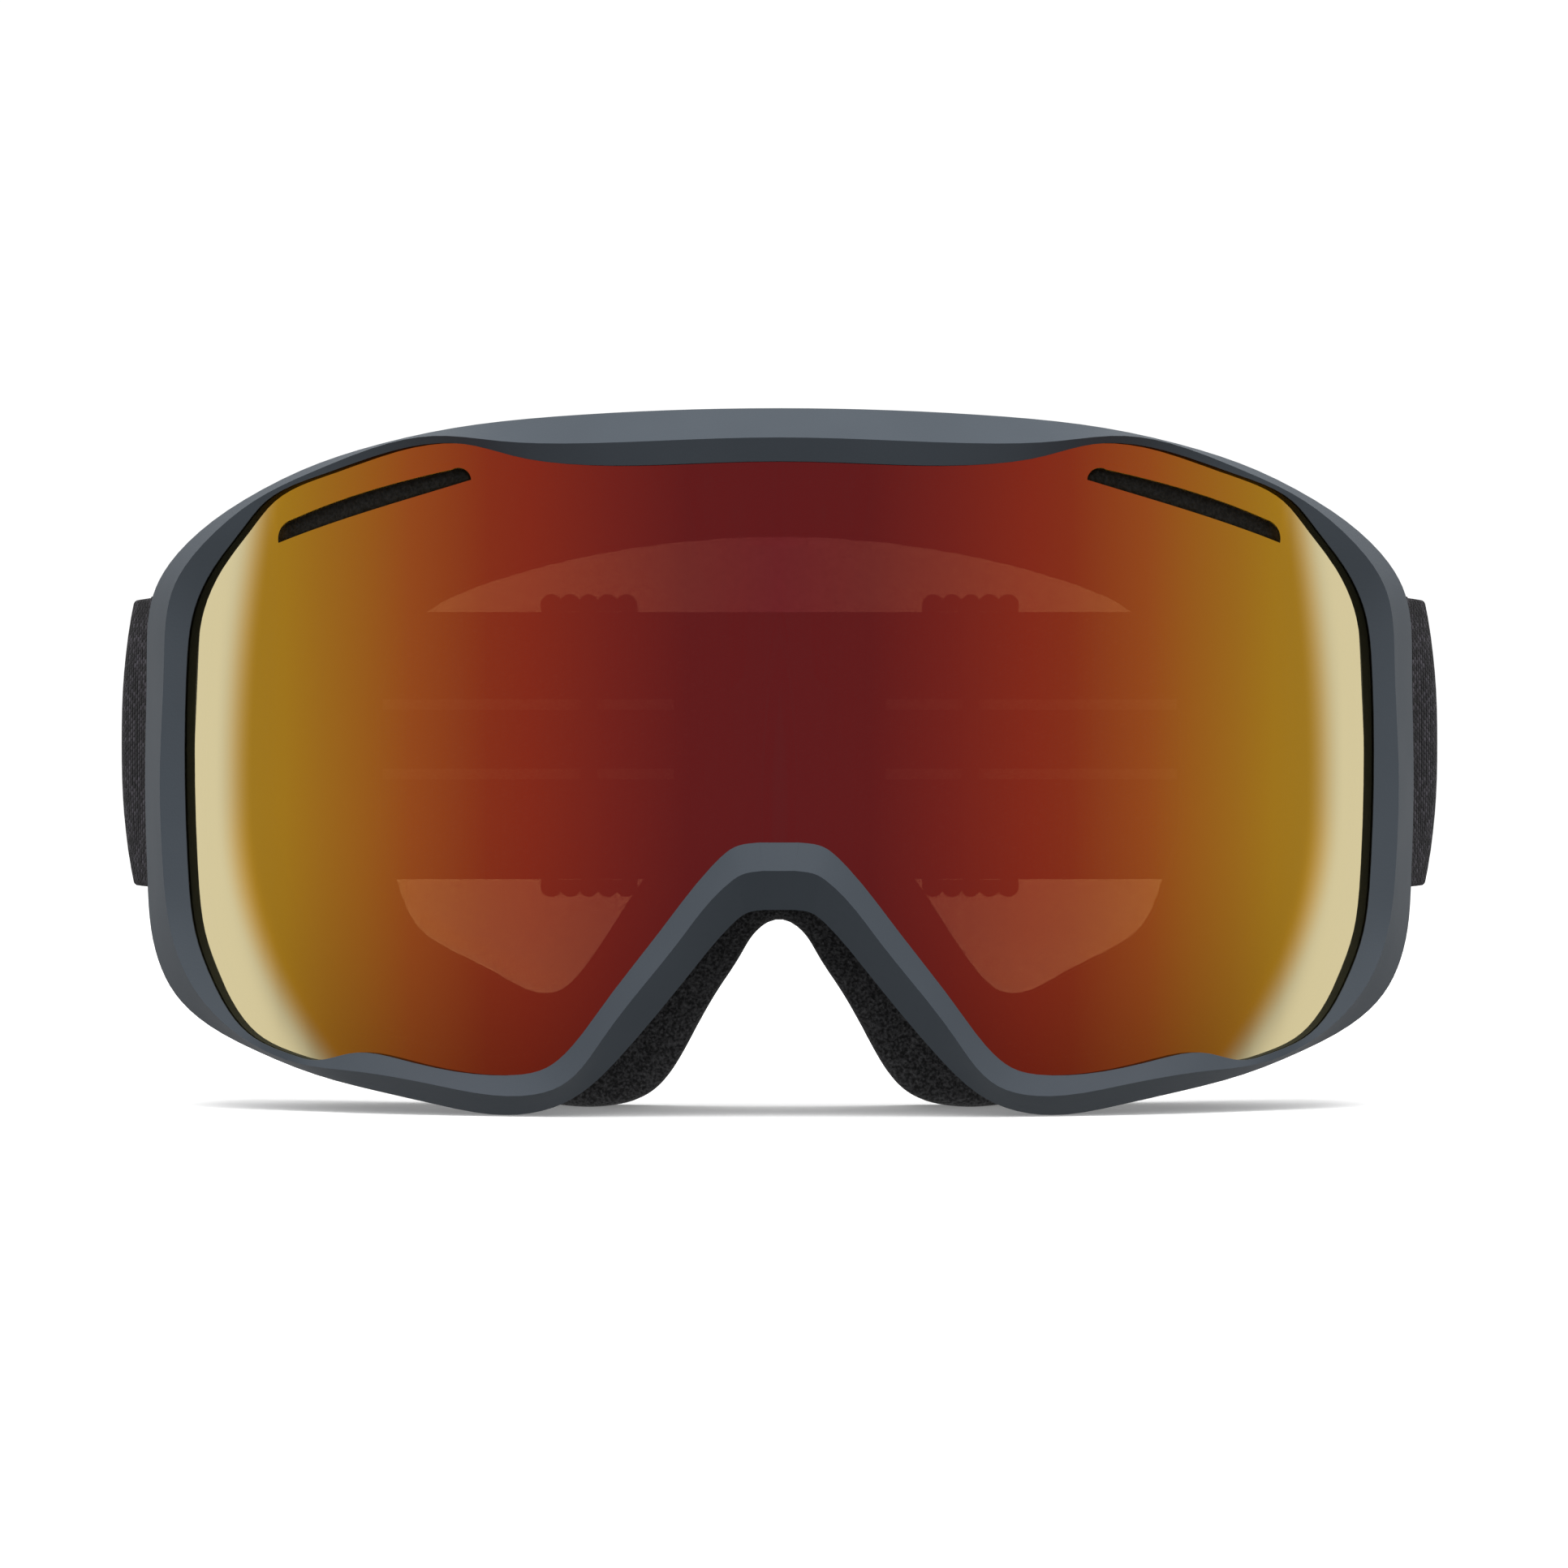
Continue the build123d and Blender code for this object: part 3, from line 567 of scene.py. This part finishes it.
def webbing_material():
    """Dark woven elastic with a few lighter threads."""
    material, tree, shader = new_material("black woven elastic")
    links = tree.links
    uv = tree.nodes.new("ShaderNodeUVMap")
    uv.uv_map = "weave"
    parts = tree.nodes.new("ShaderNodeSeparateXYZ")
    weave = tree.nodes.new("ShaderNodeGroup")
    weave.node_tree = elastic_weave
    mix = tree.nodes.new("ShaderNodeMix")
    mix.data_type = "RGBA"
    mix.inputs["A"].default_value = WEBBING_DARK
    mix.inputs["B"].default_value = WEBBING_LIGHT
    bump = tree.nodes.new("ShaderNodeBump")
    bump.inputs["Strength"].default_value = 0.9
    bump.inputs["Distance"].default_value = 0.35 * MM
    links.new(uv.outputs["UV"], parts.inputs["Vector"])
    links.new(parts.outputs["X"], weave.inputs["Along"])
    links.new(parts.outputs["Y"], weave.inputs["Across"])
    weave.inputs["Rib"].default_value = RIB
    weave.inputs["Pick"].default_value = PICK
    links.new(weave.outputs["Light"], mix.inputs["Factor"])
    links.new(weave.outputs["Height"], bump.inputs["Height"])
    links.new(mix.outputs["Result"], shader.inputs["Base Color"])
    links.new(bump.outputs["Normal"], shader.inputs["Normal"])
    shader.inputs["Roughness"].default_value = 0.85
    shader.inputs["Specular IOR Level"].default_value = 0.08
    shader.inputs["Sheen Weight"].default_value = 0.03
    shader.inputs["Sheen Roughness"].default_value = 0.5
    return material


webbing = webbing_material()
inner_legs = BAR_TURN + INNER_SIDE + REAR_RUN + INNER_SIDE[::-1] + BAR_TURN
band = lay_webbing("strap_inner", (BAR_X + BAR_TURN_R, BAR_Y), -90, inner_legs, True, webbing)
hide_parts("strap_band", "strap_loop_left", "strap_loop_right")
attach(band, "root")


def mirrored(piece, name):
    """The same piece on the other side of the goggles."""
    bm = bmesh.new()
    bm.from_mesh(piece.data)
    bmesh.ops.scale(bm, vec=(-1, 1, 1), verts=bm.verts)
    bmesh.ops.reverse_faces(bm, faces=bm.faces)
    mesh = bpy.data.meshes.new(name)
    bm.to_mesh(mesh)
    bm.free()
    for material in piece.data.materials:
        mesh.materials.append(material)
    other = bpy.data.objects.new(name, mesh)
    bpy.context.scene.collection.objects.link(other)
    thicken(other)
    return other


outer_left = lay_webbing("strap_outer_layer_left", (BAR_X + BAR_TURN_R, BAR_Y), 90, OUTER_SIDE,
                         False, webbing)
outer_right = mirrored(outer_left, "strap_outer_layer_right")
OUTER_BACK_Y = 83 * MM
for piece, side, x in ((outer_left, "left", 1), (outer_right, "right", -1)):
    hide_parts("strap_outer_" + side)
    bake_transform(piece)


# ---- Strap ends -------------------------------------------------------------------------------
# The outer layer is folded round the slider's outer bar and sewn down on itself with two bar
# tacks of bonded thread.
TAIL_LEGS = [(0.9, 0), (0.75, -90), (12.4, 0)]
STITCH_LONG = 2.3 * MM
STITCH_R = 0.24 * MM
STITCH_PITCH = 0.85 * MM
STITCH_LEAN = 12             # degrees, to alternate sides
STITCH_SINK = 0.02 * MM
TACK_X = (42.6 * MM, 38.6 * MM)
TACK_MARGIN = 2.2 * MM
THREAD = (0.030, 0.029, 0.033)
THREAD_GAP = (0.015, 0.0145, 0.0165)

tail_left = lay_webbing("strap_end_left", (33.5 * MM, OUTER_BACK_Y), 90, TAIL_LEGS, True, webbing,
                        crown=0)
tail_right = mirrored(tail_left, "strap_end_right")


def bonded_thread():
    """Thread with a slight lustre and darker gaps between its plies."""
    material, tree, shader = new_material("bonded thread")
    coords = tree.nodes.new("ShaderNodeTexCoord")
    plies = tree.nodes.new("ShaderNodeTexNoise")
    plies.inputs["Scale"].default_value = 9000
    tree.links.new(coords.outputs["Object"], plies.inputs["Vector"])
    colour = colour_ramp(tree, plies.outputs["Fac"], [(0.0, THREAD_GAP), (1.0, THREAD)])
    tree.links.new(colour, shader.inputs["Base Color"])
    shader.inputs["Roughness"].default_value = 0.5
    return material


thread = bonded_thread()
STRAP_MIDDLE_Z = STRAP_LOW + STRAP_WIDTH / 2
TACK_HALF = STRAP_WIDTH / 2 - TACK_MARGIN
STITCHES = round(2 * TACK_HALF / STITCH_PITCH)
for tail, side, sign in ((tail_left, "left", 1), (tail_right, "right", -1)):
    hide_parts("strap_tail_" + side)
    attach(tail, "slider_" + side + "_body")
    bm = bmesh.new()
    for tack, x in enumerate(TACK_X):
        for i in range(STITCHES + 1):
            z = STRAP_MIDDLE_Z - TACK_HALF + i * 2 * TACK_HALF / STITCHES
            angle = STITCH_LEAN if (i + tack) % 2 else -STITCH_LEAN
            lean = Matrix.Rotation(math.radians(angle), 4, "Y")
            place = Matrix.Translation((sign * x, cad_box[1].y - STITCH_SINK, z)) @ lean
            long_stitch = Matrix.Diagonal((STITCH_LONG / 2 / STITCH_R, 1, 1, 1))
            bmesh.ops.create_icosphere(bm, subdivisions=1, radius=STITCH_R,
                                       matrix=place @ long_stitch)
    for face in bm.faces:
        face.smooth = True
    mesh = bpy.data.meshes.new("bar_tacks_" + side)
    bm.to_mesh(mesh)
    bm.free()
    mesh.materials.append(thread)
    tacks = bpy.data.objects.new("bar_tacks_" + side, mesh)
    bpy.context.scene.collection.objects.link(tacks)
    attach(tacks, "slider_" + side + "_body")


# ---- Sliders and grip lines ---------------------------------------------------------------------
# Moulded nylon sliders with scalloped ends, which the fingers push along the strap, and lines of
# silicone printed on the side of the webbing that faces the helmet.
nylon = moulded_material("satin black nylon", (0.016, 0.016, 0.018, 1), (0.024, 0.024, 0.027, 1),
                         0.38, 3000.0, 0.03 * MM)
silicone = moulded_material("grey silicone", (0.20, 0.20, 0.21, 1), (0.26, 0.26, 0.27, 1),
                            0.42, 1500.0, 0.05 * MM)
for node in sorted(nodes):
    if node.startswith("slider"):
        finish_node(node, nylon)
    if node.startswith("grip_line"):
        finish_node(node, silicone)


# ---- Studio -----------------------------------------------------------------------------------
# A pale floor that the goggles stand on, and white surroundings behind, above and beside them.
# The front is dim, so that the lens shows its own colours.  The camera is level, in front.
FLOOR_HALF = 4.0
CAMERA_AWAY = 1.1
CAMERA_HEIGHT = 43.9 * MM
CAMERA_ASIDE = 0.64 * MM
VIEW_WIDTH = 205.6 * MM      # across the picture, at the front of the bezel


def make_floor():
    """Pale floor that glows a little, so that it stays light to the horizon."""
    bm = bmesh.new()
    bmesh.ops.create_grid(bm, x_segments=2, y_segments=2, size=FLOOR_HALF)
    mesh = bpy.data.meshes.new("floor")
    bm.to_mesh(mesh)
    bm.free()
    floor = bpy.data.objects.new("floor", mesh)
    bpy.context.scene.collection.objects.link(floor)
    material, tree, shader = new_material("pale floor")
    shader.inputs["Base Color"].default_value = (0.86, 0.86, 0.86, 1)
    shader.inputs["Roughness"].default_value = 0.9
    shader.inputs["Specular IOR Level"].default_value = 0.0
    shader.inputs["Emission Color"].default_value = (1, 1, 1, 1)
    shader.inputs["Emission Strength"].default_value = 0.20
    mesh.materials.append(material)
    floor.visible_glossy = False
    floor.visible_diffuse = False


# The surroundings, by direction: how bright each is, and how softly one meets the next.
FRONT_LIGHT = 0.46
REAR_LIGHT = 1.15
BACKDROP_LIGHT = 1.05         # as the camera sees it
SIDE_EDGE = (-0.03, 0.125)    # from dim to bright, by how far a direction points rearwards
EDGE_CURVE_HIGH = 90.0        # how quickly that edge comes forward above the horizon,
EDGE_CURVE_LOW = 260.0        # and below it
EDGE_CURVE_MOST = 0.35
CEILING_EDGE = (0.25, 0.8)    # from dim to bright overhead, by how steep a direction is
FRONT_FADE = 320.0            # how quickly the front darkens below the horizon
FRONT_FADE_MOST = 0.40
SOFT_LIGHT_FROM = (-0.3, 0.95)            # the light that matt surfaces take, by steepness
SOFT_LIGHT_BELOW = 0.06
SOFT_LIGHT_ABOVE = 1.12
SOFT_LIGHT_AHEAD = 0.85


def make_world():
    """White panels behind, above and below, with a dim stretch in front at the lens's height."""
    world = bpy.data.worlds.new("studio")
    bpy.context.scene.world = world
    world.use_nodes = True
    tree = world.node_tree
    background = tree.nodes["Background"]
    coords = tree.nodes.new("ShaderNodeTexCoord")
    parts = tree.nodes.new("ShaderNodeSeparateXYZ")
    tree.links.new(coords.outputs["Generated"], parts.inputs["Vector"])
    squared = wire(tree, "MULTIPLY", parts.outputs["Z"], parts.outputs["Z"])
    low = wire(tree, "LESS_THAN", parts.outputs["Z"], 0.0)
    bend = wire(tree, "MULTIPLY_ADD", low, EDGE_CURVE_LOW - EDGE_CURVE_HIGH, EDGE_CURVE_HIGH)
    curve = wire(tree, "MINIMUM", wire(tree, "MULTIPLY", squared, bend), EDGE_CURVE_MOST)
    rearwards = wire(tree, "ADD", parts.outputs["Y"], curve)
    fade = wire(tree, "MINIMUM", wire(tree, "MULTIPLY", wire(tree, "MULTIPLY", squared, low),
                                      FRONT_FADE), FRONT_FADE_MOST)
    front = wire(tree, "MULTIPLY", wire(tree, "SUBTRACT", 1.0, fade), FRONT_LIGHT)
    rear = smooth_step(tree, rearwards, *SIDE_EDGE, 0.0, 1.0)
    high = smooth_step(tree, parts.outputs["Z"], *CEILING_EDGE, 0.0, 1.0)
    share = wire(tree, "MAXIMUM", rear, high)
    level = tree.nodes.new("ShaderNodeMix")
    level.inputs["B"].default_value = REAR_LIGHT
    tree.links.new(share, level.inputs["Factor"])
    tree.links.new(front, level.inputs["A"])
    path = tree.nodes.new("ShaderNodeLightPath")
    upright = smooth_step(tree, parts.outputs["Z"], *SOFT_LIGHT_FROM, SOFT_LIGHT_BELOW,
                          SOFT_LIGHT_ABOVE)
    ahead = wire(tree, "ABSOLUTE", parts.outputs["Y"])
    soft = wire(tree, "MULTIPLY_ADD", ahead, SOFT_LIGHT_AHEAD, upright)
    diffused = tree.nodes.new("ShaderNodeMix")
    tree.links.new(path.outputs["Is Diffuse Ray"], diffused.inputs["Factor"])
    tree.links.new(level.outputs["Result"], diffused.inputs["A"])
    tree.links.new(soft, diffused.inputs["B"])
    seen = tree.nodes.new("ShaderNodeMix")
    seen.inputs["B"].default_value = BACKDROP_LIGHT
    tree.links.new(path.outputs["Is Camera Ray"], seen.inputs["Factor"])
    tree.links.new(diffused.outputs["Result"], seen.inputs["A"])
    tree.links.new(seen.outputs["Result"], background.inputs["Strength"])
    background.inputs["Color"].default_value = (1, 1, 1, 1)


def softbox(name, place, target, width, height, power):
    """A soft area light at place, turned towards target."""
    data = bpy.data.lights.new(name, "AREA")
    data.shape = "RECTANGLE"
    data.size = width
    data.size_y = height
    data.energy = power
    light = bpy.data.objects.new(name, data)
    light.location = place
    light.rotation_euler = (Vector(target) - Vector(place)).to_track_quat("-Z", "Y").to_euler()
    bpy.context.scene.collection.objects.link(light)


make_floor()
make_world()
softbox("overhead softbox", (0, -0.25, 1.1), (0, 0, 0.05), 1.2, 0.9, 12)

camera_data = bpy.data.cameras.new("camera")
camera_data.sensor_width = 36
camera_data.lens = 36 * CAMERA_AWAY / VIEW_WIDTH
camera_data.clip_start = 0.01
camera = bpy.data.objects.new("camera", camera_data)
camera.location = (CAMERA_ASIDE, cad_box[0][1] - CAMERA_AWAY, CAMERA_HEIGHT)
camera.rotation_euler = (math.radians(90), 0, 0)
bpy.context.scene.collection.objects.link(camera)
bpy.context.scene.camera = camera
bpy.context.scene.view_settings.view_transform = "Standard"
